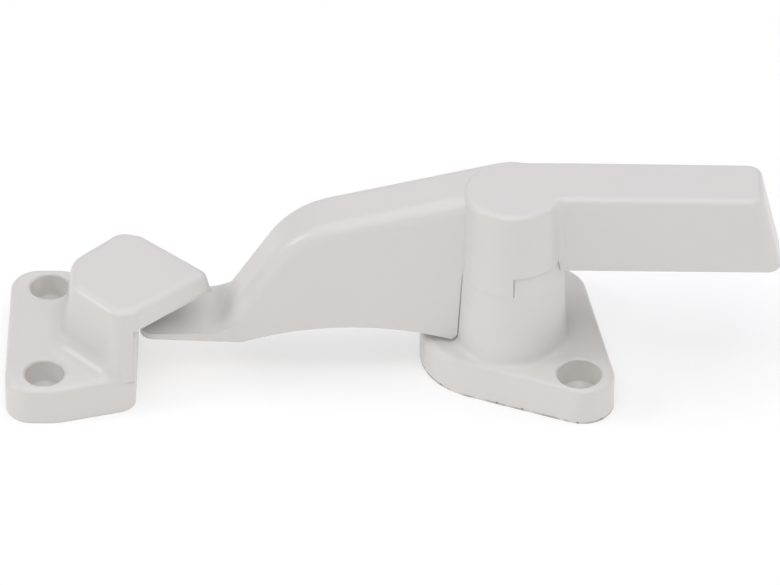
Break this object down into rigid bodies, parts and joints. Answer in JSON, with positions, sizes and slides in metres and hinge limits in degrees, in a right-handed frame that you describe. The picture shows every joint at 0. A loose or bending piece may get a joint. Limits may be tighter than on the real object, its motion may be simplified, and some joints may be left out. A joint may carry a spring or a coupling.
{
  "type": "casement turn button",
  "caption": "Window turn button: a straight grip and a stepped locking arm turn on a round post, and the arm's wedge nose locks under a hooked keeper.",
  "frame": {"origin": "middle of the base plate's two screw holes, on the mounting face", "axes": "+X along the part from the keeper to the grip, +Y across it, from the base's front screw towards its back screw, +Z away from the mounting face along the screws"},
  "size_m": [0.1406, 0.0395, 0.0404],
  "materials": {
    "white_coated_zinc": "white powder coat, satin gloss, over zinc die casting",
    "acetal": "natural acetal",
    "spring_steel": "oiled spring steel",
    "plated_steel": "bright zinc plating"
  },
  "bodies": {
    "mounted": {"base_plate": "white_coated_zinc", "keeper": "white_coated_zinc", "friction_washer": "acetal"},
    "turning": {"lever": "white_coated_zinc", "disc_spring": "spring_steel", "retaining_washer": "plated_steel", "pivot_screw": "plated_steel"}
  },
  "joints": [
    {"name": "lever_turn", "type": "hinge", "parent": "mounted", "child": "turning", "pos_m": [-0.0086, -0.0022, 0], "axis": [0, 0, 1], "range_deg": [-90, 0]}
  ]
}
